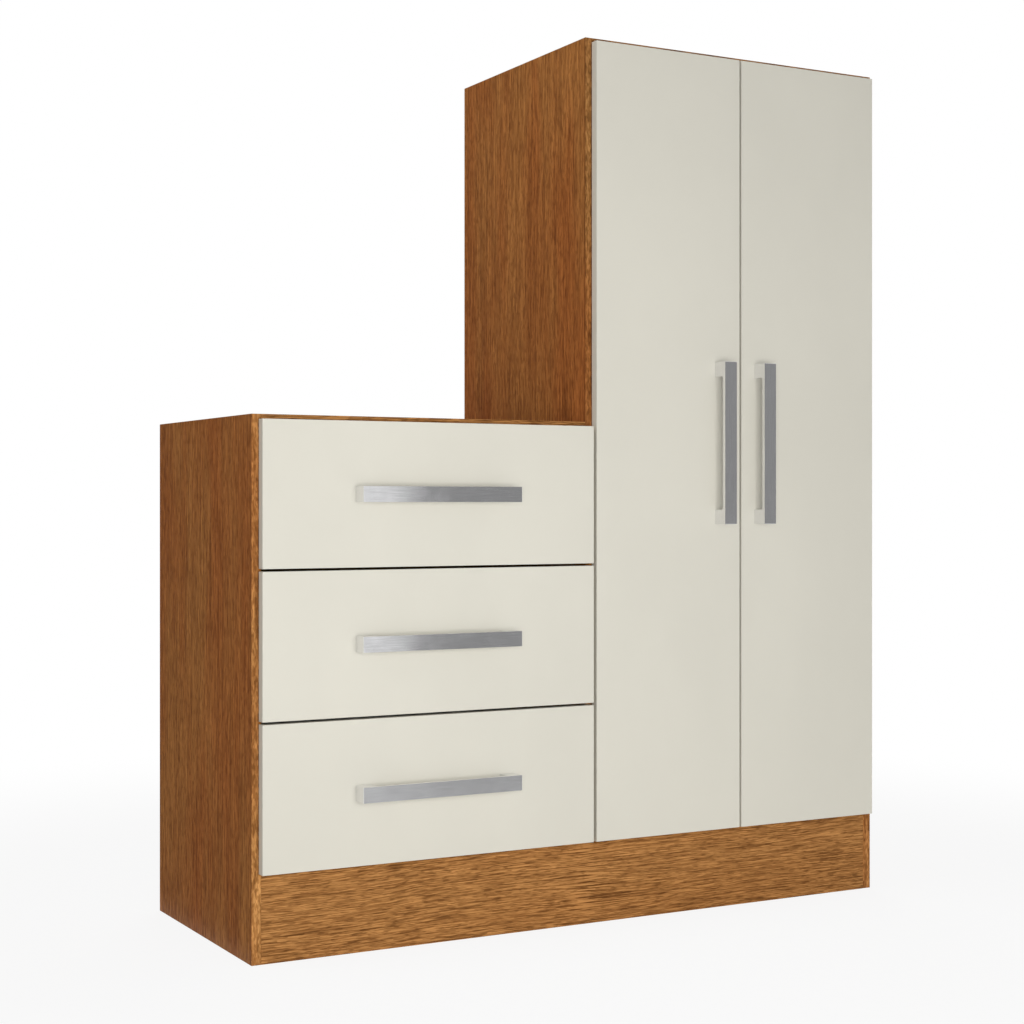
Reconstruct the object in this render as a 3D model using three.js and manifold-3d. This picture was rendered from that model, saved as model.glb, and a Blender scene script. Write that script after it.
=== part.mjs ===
// Chifforobe: a low chest of three drawers beside a tall wardrobe with two doors, on one plinth.
// Millimetres, +Z up, the front faces -Y, and the floor is at z = 0 under the middle of the piece.
import * as THREE from 'three';
import { mergeVertices } from 'three/addons/utils/BufferGeometryUtils.js';
import Module from 'manifold-3d';

const wasm = await Module();
wasm.setup();

// Overall sizes
const overallWidth = 906;
const overallHeight = 1120;
const overallDepth = 350;
const chestHeight = 634;
const plinthHeight = 105;

// Boards and sheets
const boardThickness = 12;
const frontThickness = 12;
const sheetThickness = 3;
const backSheetInset = 1;
const backSheetFloorGap = 10;
const wallGap = 0.3;
const seatGap = 0.1;

// Reveals and gaps of the fronts
const frontGap = 2.5;
const outerReveal = 8;
const topReveal = 6;
const sectionGap = 4;
const doorGap = 3;
const drawerGap = 3;

// Bar handles
const handleHoleSpacing = 192;
const handleLegLength = 19;
const handleWidth = 18.5;
const handleReach = 23;
const handleBarThickness = 5;
const handleInnerRadius = 2;
const handleOuterRadius = 0.6;
const doorHandleInset = 30;

// Drawer boxes
const drawerBoxLength = 250;
const drawerBoxLift = 30;
const drawerBoxDrop = 22;
const drawerSideThickness = 12;
const drawerTravel = 165;
const grooveLift = 8;
const grooveDepth = 6;

// Roller runners
const runnerSpace = 12.5;
const runnerSteel = 1.2;
const runnerHeight = 23.4;
const runnerReach = 9;
const runnerLength = 250;
const runnerSetBack = 3;
const underFlangeReach = 12;
const rollerWidth = 5;
const rollerSideGap = 1;
const carcassRollerRadius = 8.5;
const drawerRollerRadius = 10;
const rollerEndDistance = 12;
const rollerLift = 0.5;
const rollerPlay = 0.3;
const rollerPinRadius = 2.5;
const stopLugThickness = 2;
const stopLugDrop = 1.3;

// Wardrobe fittings
const shelfHeight = 400;
const shelfSetBack = 20;
const rodDrop = 48;
const rodRadius = 11;
const rodWall = 1;
const rodEndGap = 0.5;
const socketFlangeRadius = 21;
const socketFlangeThickness = 3;
const socketRingWall = 2.5;
const socketRingLength = 14;

// Concealed hinges: the swing axis, the pins and the link between them
const hingeAxisInset = 6.4;
const hingeAxisDepth = 8.7;
const cupPinLift = 3;
const armPinOffset = 12;
const hingePinRadius = 1.2;
const hingeEyeRadius = 2.2;
const hingePlay = 0.3;
const linkWidth = 7;
const linkThickness = 1.6;
const linkBendShift = 0.8;
const linkBendRise = 0.6;
const hingeEndDistance = 100;

// Concealed hinges: the cup in the door
const cupDiameter = 35;
const cupEdgeDistance = 2;
const cupDepth = 10;
const cupWall = 0.8;
const cupFlangeThickness = 1;
const cupScrewSpacing = 48;
const cupScrewOffset = 6;
const cupLobeWidth = 12;
const hingeScrewHoleRadius = 2.2;

// Concealed hinges: the arm and its mounting plate
const armNoseRadius = 3;
const armSteel = 1.2;
const armWebStart = 4;
const armBackEnd = 62;
const armHeelDrop = 7;
const armHeelLength = 12;
const plateThickness = 2;
const plateFront = 24;
const plateWidth = 16;
const plateWingWidth = 14;
const plateWingSpacing = 32;

// How finely round things are divided
const roundSides = 32;
const smallRoundSides = 16;
const cornerSteps = 3;
const cutOverrun = 1;

// Places that follow from the sizes
const halfWidth = overallWidth / 2;
const frontFaceY = (handleReach - overallDepth) / 2;
const backY = frontFaceY + overallDepth;
const frontBackY = frontFaceY + frontThickness;
const carcassFrontY = frontBackY + frontGap;
const boardBackY = backY - sheetThickness;
const plinthBackY = carcassFrontY + boardThickness;
const frontBottomZ = plinthHeight;
const drawerFrontTopZ = chestHeight - topReveal;
const doorTopZ = overallHeight - topReveal;
const innerFaceX = halfWidth - boardThickness;
const centreFaceX = boardThickness / 2;
const sectionFrontWidth = halfWidth - outerReveal - sectionGap / 2;
const doorWidth = (sectionFrontWidth - doorGap) / 2;
const handleLength = handleHoleSpacing + handleLegLength;
const drawerNames = ['top', 'middle', 'bottom'];
const drawerFrontHeight = (drawerFrontTopZ - frontBottomZ - (drawerNames.length - 1) * drawerGap)
  / drawerNames.length;
const drawerBoxHeight = drawerFrontHeight - drawerBoxLift - drawerBoxDrop;

function material(colour, roughness, metalness) {
  return new THREE.MeshStandardMaterial({ color: colour, roughness, metalness });
}

const oakBoard = () => material(0x9a6433, 0.55, 0);
const creamBoard = () => material(0xdedacb, 0.4, 0);
const whiteBoard = () => material(0xe9e6dc, 0.6, 0);
const hardboard = () => material(0xb9905f, 0.8, 0);
const satinChrome = () => material(0x98989c, 0.3, 1);
const nickelSteel = () => material(0xb8b8b4, 0.35, 1);
const enamelledSteel = () => material(0xeeeeea, 0.45, 0.1);

function piece(name, finish, geometry) {
  const mesh = new THREE.Mesh(geometry, finish);
  mesh.name = name;
  return mesh;
}

function blockBetween(low, high) {
  const from = new THREE.Vector3(...low);
  const size = new THREE.Vector3(...high).sub(from);
  const centre = from.addScaledVector(size, 0.5);
  return new THREE.BoxGeometry(size.x, size.y, size.z).translate(centre.x, centre.y, centre.z);
}

// A board or sheet between two corners
function board(name, finish, low, high) {
  return piece(name, finish, blockBetween(low, high));
}

// Turns a closed geometry into a solid that can be joined and cut
function solid(geometry) {
  const plain = geometry.clone();
  plain.deleteAttribute('normal');
  plain.deleteAttribute('uv');
  const merged = mergeVertices(plain);
  return new wasm.Manifold(new wasm.Mesh({
    numProp: 3,
    vertProperties: new Float32Array(merged.attributes.position.array),
    triVerts: new Uint32Array(merged.index.array),
  }));
}

function geometryOf(body) {
  const mesh = body.getMesh();
  const geometry = new THREE.BufferGeometry();
  geometry.setAttribute('position', new THREE.BufferAttribute(mesh.vertProperties, 3));
  geometry.setIndex(new THREE.BufferAttribute(mesh.triVerts, 1));
  geometry.computeVertexNormals();
  return geometry;
}

function joined(first, ...others) {
  return others.reduce((whole, other) => whole.add(solid(other)), solid(first));
}

function cutFrom(body, ...cutters) {
  return cutters.reduce((rest, cutter) => rest.subtract(solid(cutter)), body);
}

// Extrudes a shape drawn in the plane across an axis: y-z for x, z-x for y and x-y for z
function extrudeAlong(axis, shape, from, to) {
  const x = new THREE.Vector3(1, 0, 0);
  const y = new THREE.Vector3(0, 1, 0);
  const z = new THREE.Vector3(0, 0, 1);
  const across = { x: [y, z, x], y: [z, x, y], z: [x, y, z] }[axis];
  const options = { depth: to - from, bevelEnabled: false, curveSegments: cornerSteps };
  const geometry = new THREE.ExtrudeGeometry(shape, options).translate(0, 0, from);
  return geometry.applyMatrix4(new THREE.Matrix4().makeBasis(...across));
}

function outline(points) {
  return new THREE.Shape(points.map(([u, v]) => new THREE.Vector2(u, v)));
}

function disc(u, v, radius, sides = roundSides) {
  const points = Array.from({ length: sides }, (_, step) => {
    const turn = (2 * Math.PI * step) / sides;
    return [u + radius * Math.cos(turn), v + radius * Math.sin(turn)];
  });
  return outline(points);
}

// A bar with round ends from one point to another
function roundBar(start, end, width) {
  const facing = Math.atan2(end[1] - start[1], end[0] - start[0]);
  const half = Math.PI / 2;
  const shape = new THREE.Shape();
  shape.absarc(start[0], start[1], width / 2, facing + half, facing + 3 * half);
  shape.absarc(end[0], end[1], width / 2, facing - half, facing + half);
  return outline(shape.getPoints(smallRoundSides / 2).map((point) => [point.x, point.y]));
}

// A U-shaped bar handle: its feet stand just off y = 0, it reaches towards -Y and it runs along X
function handleGeometry() {
  const halfLength = handleLength / 2;
  const legInside = halfLength - handleLegLength;
  const barInside = handleReach - handleBarThickness;
  const shape = new THREE.Shape();
  shape.moveTo(-halfLength, -seatGap);
  shape.lineTo(-halfLength, -handleReach + handleOuterRadius);
  shape.absarc(-halfLength + handleOuterRadius, -handleReach + handleOuterRadius, handleOuterRadius,
    Math.PI, 1.5 * Math.PI);
  shape.absarc(halfLength - handleOuterRadius, -handleReach + handleOuterRadius, handleOuterRadius,
    -0.5 * Math.PI, 0);
  shape.lineTo(halfLength, -seatGap);
  shape.lineTo(legInside, -seatGap);
  shape.absarc(legInside - handleInnerRadius, -barInside + handleInnerRadius, handleInnerRadius,
    0, -0.5 * Math.PI, true);
  shape.absarc(-legInside + handleInnerRadius, -barInside + handleInnerRadius, handleInnerRadius,
    1.5 * Math.PI, Math.PI, true);
  shape.lineTo(-legInside, -seatGap);
  return extrudeAlong('z', shape, -handleWidth / 2, handleWidth / 2);
}

function handle(name) {
  return piece(name, satinChrome(), handleGeometry());
}

// The boards that stand on the floor
function sidePanel(name, outerX, innerX, height) {
  const [low, high] = [Math.min(outerX, innerX), Math.max(outerX, innerX)];
  return board(name, oakBoard(), [low, carcassFrontY, 0], [high, boardBackY, height]);
}

// The centre panel is notched at its lower front corner, where the plinth passes
function centrePanel() {
  const profile = outline([
    [plinthBackY, 0], [boardBackY, 0], [boardBackY, overallHeight],
    [carcassFrontY, overallHeight], [carcassFrontY, plinthHeight], [plinthBackY, plinthHeight],
  ]);
  return piece('centre_panel', oakBoard(), extrudeAlong('x', profile, -centreFaceX, centreFaceX));
}

function level(name, fromX, toX, underZ, setBack = 0) {
  return board(name, oakBoard(), [fromX, carcassFrontY + setBack, underZ],
    [toX, boardBackY, underZ + boardThickness]);
}

function backSheet(name, fromX, toX, topZ) {
  return board(name, hardboard(), [fromX, boardBackY, backSheetFloorGap], [toX, backY, topZ]);
}

function carcass() {
  const group = new THREE.Group();
  const outerSheetX = halfWidth - backSheetInset;
  group.add(
    sidePanel('left_side_panel', -halfWidth, -innerFaceX, chestHeight),
    centrePanel(),
    sidePanel('right_side_panel', halfWidth, innerFaceX, overallHeight),
    level('chest_top', -innerFaceX, -centreFaceX, chestHeight - boardThickness),
    level('chest_bottom', -innerFaceX, -centreFaceX, plinthHeight),
    level('wardrobe_top', centreFaceX, innerFaceX, overallHeight - boardThickness),
    level('wardrobe_bottom', centreFaceX, innerFaceX, plinthHeight),
    level('wardrobe_shelf', centreFaceX, innerFaceX, shelfHeight, shelfSetBack),
    board('front_plinth', oakBoard(), [-innerFaceX, carcassFrontY, 0],
      [innerFaceX, plinthBackY, plinthHeight]),
    backSheet('chest_back', -outerSheetX, -wallGap, chestHeight - backSheetInset),
    backSheet('wardrobe_back', wallGap, outerSheetX, overallHeight - backSheetInset),
  );
  return group;
}

// The hanging rod is a tube, and each end stands in a ring on a round flange
function rodSocket(name) {
  const ringInside = rodRadius + wallGap;
  const ringOutside = ringInside + socketRingWall;
  const ringEnd = socketFlangeThickness + socketRingLength;
  const profile = [
    [0, 0], [socketFlangeRadius, 0], [socketFlangeRadius, socketFlangeThickness],
    [ringOutside, socketFlangeThickness], [ringOutside, ringEnd], [ringInside, ringEnd],
    [ringInside, socketFlangeThickness], [0, socketFlangeThickness],
  ];
  return piece(name, nickelSteel(),
    new THREE.LatheGeometry(profile.map(([r, along]) => new THREE.Vector2(r, along)), roundSides));
}

function hangingRail() {
  const group = new THREE.Group();
  const length = innerFaceX - centreFaceX - 2 * (socketFlangeThickness + rodEndGap);
  const inside = rodRadius - rodWall;
  const profile = [[inside, 0], [rodRadius, 0], [rodRadius, length], [inside, length], [inside, 0]];
  const rod = piece('hanging_rod', nickelSteel(),
    new THREE.LatheGeometry(profile.map(([r, along]) => new THREE.Vector2(r, along)), roundSides));
  rod.position.set(0, socketFlangeThickness + rodEndGap, 0);
  const nearSocket = rodSocket('rod_socket_left');
  const farSocket = rodSocket('rod_socket_right');
  farSocket.position.set(0, innerFaceX - centreFaceX, 0);
  farSocket.rotation.x = Math.PI;
  group.add(rod, nearSocket, farSocket);
  group.rotation.z = -Math.PI / 2;
  const rodZ = overallHeight - boardThickness - rodDrop;
  group.position.set(centreFaceX, (carcassFrontY + boardBackY) / 2, rodZ);
  return group;
}

// Heights in a runner, from the underside of its lower flange
const rollerInsideX = runnerSteel + rollerSideGap;
const rollerOutsideX = rollerInsideX + rollerWidth;
const carcassRollerZ = runnerSteel + rollerLift + carcassRollerRadius;
const drawerRollerZ = runnerSteel + rollerPlay + drawerRollerRadius;
const trackZ = carcassRollerZ + carcassRollerRadius + rollerPlay;

// Places along the runners, from the front edge of the carcass
const drawerMemberStart = -frontGap;
const drawerRollerY = drawerMemberStart + drawerBoxLength - rollerEndDistance;
const carcassRollerY = runnerSetBack + rollerEndDistance;

// The member on the carcass: a channel with its roller at the front and a lug that stops the
// drawer's roller. x runs from the panel towards the drawer.
function carcassMember() {
  const channel = outline([
    [0, seatGap], [0, runnerReach], [runnerSteel, runnerReach], [runnerSteel, runnerSteel],
    [runnerHeight - runnerSteel, runnerSteel], [runnerHeight - runnerSteel, runnerReach],
    [runnerHeight, runnerReach], [runnerHeight, seatGap],
  ]);
  const lugBottom = runnerHeight - runnerSteel - stopLugDrop;
  const touch = Math.sqrt(drawerRollerRadius ** 2 - (drawerRollerZ - lugBottom) ** 2);
  const lugBackY = drawerRollerY - drawerTravel - touch - rollerPlay;
  const roller = disc(carcassRollerY, carcassRollerZ, carcassRollerRadius);
  const rollerPin = disc(carcassRollerY, carcassRollerZ, rollerPinRadius, smallRoundSides);
  return geometryOf(joined(
    extrudeAlong('y', channel, runnerSetBack, runnerSetBack + runnerLength),
    extrudeAlong('x', roller, rollerInsideX, rollerOutsideX),
    extrudeAlong('x', rollerPin, runnerSteel / 2, rollerOutsideX + runnerSteel / 2),
    blockBetween([runnerSteel / 2, lugBackY - stopLugThickness, lugBottom],
      [runnerReach, lugBackY, runnerHeight - runnerSteel / 2]),
  ));
}

// The member on the drawer: an angle under the drawer side, a track along its top and a roller at
// the back
function drawerMember() {
  const outsideX = runnerSpace - seatGap;
  const webX = outsideX - runnerSteel;
  const flangeEnd = runnerSpace + underFlangeReach;
  const angle = outline([
    [0, webX], [0, flangeEnd], [runnerSteel, flangeEnd],
    [runnerSteel, outsideX], [trackZ + runnerSteel, outsideX], [trackZ + runnerSteel, webX],
  ]);
  const trackEnd = drawerRollerY - drawerRollerRadius - rollerSideGap;
  const roller = disc(drawerRollerY, drawerRollerZ, drawerRollerRadius);
  const rollerPin = disc(drawerRollerY, drawerRollerZ, rollerPinRadius, smallRoundSides);
  return geometryOf(joined(
    extrudeAlong('y', angle, drawerMemberStart, drawerMemberStart + drawerBoxLength),
    blockBetween([rollerInsideX + rollerPlay, drawerMemberStart, trackZ],
      [outsideX, trackEnd, trackZ + runnerSteel]),
    extrudeAlong('x', roller, rollerInsideX, rollerOutsideX),
    extrudeAlong('x', rollerPin, rollerOutsideX - runnerSteel / 2, outsideX - runnerSteel / 2),
  ));
}

// The same solid seen in a mirror, for the runners on the other side
function mirroredAcrossX(geometry) {
  const mirrored = geometry.clone().scale(-1, 1, 1);
  const corners = mirrored.index.array;
  for (let first = 0; first < corners.length; first += 3) {
    [corners[first], corners[first + 1]] = [corners[first + 1], corners[first]];
  }
  mirrored.computeVertexNormals();
  return mirrored;
}

function runnerMember(name, build, onLeft, boxBottomZ) {
  const geometry = onLeft ? build() : mirroredAcrossX(build());
  const mesh = piece(name, enamelledSteel(), geometry);
  const panelFaceX = onLeft ? -innerFaceX : -centreFaceX;
  mesh.position.set(panelFaceX, carcassFrontY, boxBottomZ - seatGap - runnerSteel);
  return mesh;
}

// A drawer side, grooved on its inner face for the bottom sheet
function drawerSide(name, outerX, innerX, boxBottomZ) {
  const grooveX = innerX + Math.sign(outerX - innerX) * grooveDepth;
  const grooveTop = grooveLift + sheetThickness + wallGap;
  const corners = [
    [0, outerX], [0, innerX], [grooveLift, innerX], [grooveLift, grooveX],
    [grooveTop, grooveX], [grooveTop, innerX], [drawerBoxHeight, innerX], [drawerBoxHeight, outerX],
  ];
  const mesh = piece(name, whiteBoard(), extrudeAlong('y', outline(corners), seatGap, drawerBoxLength));
  mesh.position.set(0, frontBackY, boxBottomZ);
  return mesh;
}

function drawerFront(name, frontZ, boxBottomZ, boxInnerLeft, boxInnerRight) {
  const left = -halfWidth + outerReveal;
  const face = blockBetween([left, frontFaceY, frontZ],
    [left + sectionFrontWidth, frontBackY, frontZ + drawerFrontHeight]);
  const grooveZ = boxBottomZ + grooveLift;
  const groove = blockBetween([boxInnerLeft - grooveDepth, frontBackY - grooveDepth, grooveZ],
    [boxInnerRight + grooveDepth, frontBackY + cutOverrun, grooveZ + sheetThickness + wallGap]);
  return piece(name, creamBoard(), geometryOf(cutFrom(solid(face), groove)));
}

function drawer(place, index) {
  const group = new THREE.Group();
  const frontZ = drawerFrontTopZ - drawerFrontHeight - index * (drawerFrontHeight + drawerGap);
  const boxBottomZ = frontZ + drawerBoxLift;
  const sheetZ = boxBottomZ + grooveLift;
  const outerLeft = -innerFaceX + runnerSpace;
  const outerRight = -centreFaceX - runnerSpace;
  const innerLeft = outerLeft + drawerSideThickness;
  const innerRight = outerRight - drawerSideThickness;
  const boxBackY = frontBackY + drawerBoxLength;
  const intoGroove = grooveDepth - wallGap;
  const middleX = -halfWidth + outerReveal + sectionFrontWidth / 2;
  const pull = handle(`${place}_drawer_handle`);
  pull.position.set(middleX, frontFaceY, frontZ + drawerFrontHeight / 2);
  group.add(
    drawerFront(`${place}_drawer_front`, frontZ, boxBottomZ, innerLeft, innerRight),
    drawerSide(`${place}_drawer_left_side`, outerLeft, innerLeft, boxBottomZ),
    drawerSide(`${place}_drawer_right_side`, outerRight, innerRight, boxBottomZ),
    board(`${place}_drawer_back`, whiteBoard(),
      [innerLeft, boxBackY - drawerSideThickness, sheetZ + sheetThickness],
      [innerRight, boxBackY, boxBottomZ + drawerBoxHeight]),
    board(`${place}_drawer_bottom`, whiteBoard(),
      [innerLeft - intoGroove, frontBackY - intoGroove, sheetZ],
      [innerRight + intoGroove, boxBackY, sheetZ + sheetThickness]),
    pull,
    runnerMember(`${place}_drawer_left_slide`, drawerMember, true, boxBottomZ),
    runnerMember(`${place}_drawer_right_slide`, drawerMember, false, boxBottomZ),
  );
  const fixed = new THREE.Group();
  fixed.add(
    runnerMember(`${place}_left_runner`, carcassMember, true, boxBottomZ),
    runnerMember(`${place}_right_runner`, carcassMember, false, boxBottomZ),
  );
  return [group, fixed];
}

// Places in a hinge: x from the door's hinge edge towards its middle, y from the carcass edge backwards
const doorBackHinge = -frontGap;
const hingeAxis = [hingeAxisInset, doorBackHinge - hingeAxisDepth];
const cupPin = [hingeAxis[0], hingeAxis[1] + cupPinLift];
const armPin = [hingeAxis[0] + armPinOffset, hingeAxis[1] + armPinOffset];
const linkLength = Math.hypot(armPinOffset, armPinOffset - cupPinLift);
const linkTurn = 2 * Math.atan2(armPinOffset, armPinOffset - cupPinLift) - Math.PI / 2;
const midPinDistance = Math.SQRT2 * armPinOffset - cupPinLift;
const slotLength = linkLength - midPinDistance;
const cupCentreX = cupEdgeDistance + cupDiameter / 2;
const plateSeatX = boardThickness - outerReveal + seatGap;

// The cup with its flange and screw lobes, and the pin that the link's slot rides on
function hingeCup() {
  const radius = cupDiameter / 2;
  const floorY = doorBackHinge - cupDepth;
  const seatY = doorBackHinge + seatGap;
  const rimY = seatY + cupFlangeThickness;
  const bowl = new THREE.LatheGeometry([
    [0, floorY], [radius, floorY], [radius, rimY], [radius - cupWall, rimY],
    [radius - cupWall, floorY + cupWall], [0, floorY + cupWall],
  ].map(([r, y]) => new THREE.Vector2(r, y)), roundSides).translate(cupCentreX, 0, 0);
  const screwX = cupCentreX + cupScrewOffset;
  const reach = cupScrewSpacing / 2;
  const lobes = extrudeAlong('y', roundBar([-reach, screwX], [reach, screwX], cupLobeWidth), seatY, rimY);
  const opening = extrudeAlong('y', disc(0, cupCentreX, radius - cupWall),
    doorBackHinge - cutOverrun, rimY + cutOverrun);
  const screwHoles = [-reach, reach].map((z) => extrudeAlong('y',
    disc(z, screwX, hingeScrewHoleRadius, smallRoundSides),
    doorBackHinge - cutOverrun, rimY + cutOverrun));
  const pinReach = cupCentreX - cupPin[0] + hingePinRadius;
  const halfPin = Math.sqrt((radius - cupWall / 2) ** 2 - pinReach ** 2);
  const pin = extrudeAlong('z', disc(...cupPin, hingePinRadius, smallRoundSides), -halfPin, halfPin);
  const flange = cutFrom(solid(lobes), opening, ...screwHoles);
  return geometryOf(solid(bowl).add(flange).add(solid(pin)));
}

// The link, drawn from the arm's pin. It bends round the rim of the cup as the door opens, and its
// slot takes up the small change of distance between the two pins on the way.
function hingeLink() {
  const openBend = [-linkBendShift, linkBendRise - armPinOffset];
  const [c, s] = [Math.cos(linkTurn), Math.sin(linkTurn)];
  const bend = [openBend[0] * c + openBend[1] * s, openBend[1] * c - openBend[0] * s];
  const far = [cupPin[0] - armPin[0], cupPin[1] - armPin[1]];
  const nearShare = 1 - slotLength / linkLength;
  const near = far.map((value) => value * nearShare);
  const half = linkWidth / 2;
  const holeRadius = hingePinRadius + hingePlay;
  const strip = (start, end, width) => extrudeAlong('z', roundBar(start, end, width), -half, half);
  const cutter = (shape) => extrudeAlong('z', shape, -half - cutOverrun, half + cutOverrun);
  const body = joined(
    strip([0, 0], bend, linkThickness),
    strip(bend, near, linkThickness),
    strip(near, far, 2 * hingeEyeRadius),
    extrudeAlong('z', disc(0, 0, hingeEyeRadius, smallRoundSides), -half, half),
  );
  return geometryOf(cutFrom(body,
    cutter(disc(0, 0, holeRadius, smallRoundSides)),
    cutter(roundBar(near, far, 2 * holeRadius)),
  ));
}

// The arm: two cheeks and a web on a winged mounting plate, with the pin of the link in its nose
function hingeArm() {
  const cheekInside = linkWidth / 2 + hingePlay;
  const cheekOutside = cheekInside + armSteel;
  const plateTopX = plateSeatX + plateThickness;
  const webOutsideX = armPin[0] + armNoseRadius;
  const profile = new THREE.Shape();
  profile.absarc(...armPin, armNoseRadius, -Math.PI, 0);
  profile.lineTo(webOutsideX, armBackEnd - armHeelLength);
  profile.lineTo(webOutsideX - armHeelDrop, armBackEnd);
  profile.lineTo(plateTopX - plateThickness / 2, armBackEnd);
  profile.lineTo(plateTopX - plateThickness / 2, plateFront);
  const cheeks = [[-cheekOutside, -cheekInside], [cheekInside, cheekOutside]]
    .map(([from, to]) => extrudeAlong('z', profile, from, to));
  const web = blockBetween([webOutsideX - armSteel, armWebStart, -cheekInside],
    [webOutsideX, armBackEnd - armHeelLength, cheekInside]);
  const wingY = (plateFront + armBackEnd) / 2;
  const reach = plateWingSpacing / 2;
  const plate = blockBetween([plateSeatX, plateFront, -plateWidth / 2],
    [plateTopX, armBackEnd, plateWidth / 2]);
  const wing = roundBar([wingY, -reach], [wingY, reach], plateWingWidth);
  const wings = extrudeAlong('x', wing, plateSeatX, plateTopX);
  const screwHoles = [-reach, reach].map((z) => extrudeAlong('x',
    disc(wingY, z, hingeScrewHoleRadius, smallRoundSides),
    plateSeatX - cutOverrun, plateTopX + cutOverrun));
  const pin = extrudeAlong('z', disc(...armPin, hingePinRadius, smallRoundSides),
    -cheekInside - armSteel / 2, cheekInside + armSteel / 2);
  return geometryOf(cutFrom(joined(plate, wings, ...cheeks, web, pin), ...screwHoles));
}

// A door hangs in its own frame: x from the hinge edge, y from the carcass edge, z from the floor
function doorPanel(name, hingeHeights) {
  const slab = blockBetween([0, doorBackHinge - frontThickness, frontBottomZ],
    [doorWidth, doorBackHinge, doorTopZ]);
  const boreRadius = cupDiameter / 2 + wallGap;
  const bores = hingeHeights.map((z) => extrudeAlong('y', disc(z, cupCentreX, boreRadius),
    doorBackHinge - cupDepth - wallGap, doorBackHinge + cutOverrun));
  return piece(name, creamBoard(), geometryOf(cutFrom(solid(slab), ...bores)));
}

function hingePiece(name, geometry, z, at = [0, 0]) {
  const mesh = piece(name, nickelSteel(), geometry);
  mesh.position.set(at[0], at[1], z);
  return mesh;
}

// The right door is the left one turned over about the Y axis, so its heights run down from the top
function door(side) {
  const heights = [frontBottomZ + hingeEndDistance, doorTopZ - hingeEndDistance];
  const middleZ = (frontBottomZ + doorTopZ) / 2;
  const frame = new THREE.Group();
  const pull = handle(`${side}_door_handle`);
  pull.rotation.y = Math.PI / 2;
  pull.position.set(doorWidth - doorHandleInset, doorBackHinge - frontThickness, middleZ);
  frame.add(doorPanel(`${side}_door_panel`, heights), pull);
  heights.forEach((z, step) => {
    const upper = (step === 1) === (side === 'left');
    const label = `${side}_door_${upper ? 'upper' : 'lower'}_hinge`;
    frame.add(
      hingePiece(`${label}_arm`, hingeArm(), z),
      hingePiece(`${label}_link`, hingeLink(), z, armPin),
      hingePiece(`${label}_cup`, hingeCup(), z),
    );
  });
  if (side === 'left') {
    frame.position.set(sectionGap / 2, carcassFrontY, 0);
  } else {
    frame.rotation.y = Math.PI;
    frame.position.set(halfWidth - outerReveal, carcassFrontY, frontBottomZ + doorTopZ);
  }
  return frame;
}

const chifforobe = new THREE.Group();
chifforobe.add(carcass(), hangingRail(), door('left'), door('right'));
drawerNames.forEach((place, index) => chifforobe.add(...drawer(place, index)));

export default chifforobe;
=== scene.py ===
"""Looks of the chifforobe: the finishes of its boards and fittings, its small fasteners and the studio."""

import logging
import math
from dataclasses import dataclass, replace
from enum import Enum
from typing import Sequence

import bmesh
import bpy
from mathutils import Matrix, Vector
from mathutils.geometry import tessellate_polygon


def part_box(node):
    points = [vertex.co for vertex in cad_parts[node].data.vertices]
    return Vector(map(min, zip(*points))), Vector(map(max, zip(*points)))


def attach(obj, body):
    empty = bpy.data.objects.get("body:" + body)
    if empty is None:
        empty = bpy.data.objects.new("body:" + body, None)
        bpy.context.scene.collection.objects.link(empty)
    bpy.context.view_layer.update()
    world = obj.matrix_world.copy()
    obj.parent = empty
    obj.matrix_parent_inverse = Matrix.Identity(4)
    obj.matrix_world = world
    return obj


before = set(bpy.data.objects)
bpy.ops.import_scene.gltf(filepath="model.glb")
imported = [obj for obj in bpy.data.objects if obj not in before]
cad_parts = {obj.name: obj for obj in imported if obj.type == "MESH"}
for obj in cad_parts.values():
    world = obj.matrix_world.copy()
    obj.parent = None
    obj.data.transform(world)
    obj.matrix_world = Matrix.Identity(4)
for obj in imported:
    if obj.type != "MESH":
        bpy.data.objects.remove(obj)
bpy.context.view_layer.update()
CARCASS_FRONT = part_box("left_side_panel")[0].y

LOG = logging.getLogger("chifforobe")
DRAWER_NAMES = ("top", "middle", "bottom")
INWARD = {"left": 1, "right": -1}
BACKWARD = Vector((0, 1, 0))

Size = tuple[float, float]
Colour = tuple[float, float, float]
Point = tuple[float, float, float]
Socket = bpy.types.NodeSocket
Mesh = bmesh.types.BMesh

MOST_OF_IT = (0.3, 0.7)
MIDDLE_OF_IT = (0.35, 0.65)
BRUSHED_SPAN = (0.25, 0.75)


def shaded(colour: Colour, share: float) -> Colour:
    """Darkens or lightens a colour."""
    return tuple(min(1.0, channel * share) for channel in colour)


class Grain(Enum):
    """The axis of the frame that a grain or a brushing follows."""

    SIDEWAYS = 0
    UPRIGHT = 2


@dataclass(frozen=True)
class Layer:
    """One noise of a finish, with its size across and along the grain in metres.

    It shows its least at low and below, and its most at high and above.
    """

    across: float
    along: float
    low: float
    high: float
    least: float = 0.0
    most: float = 1.0
    detail: float = 1.0


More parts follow.
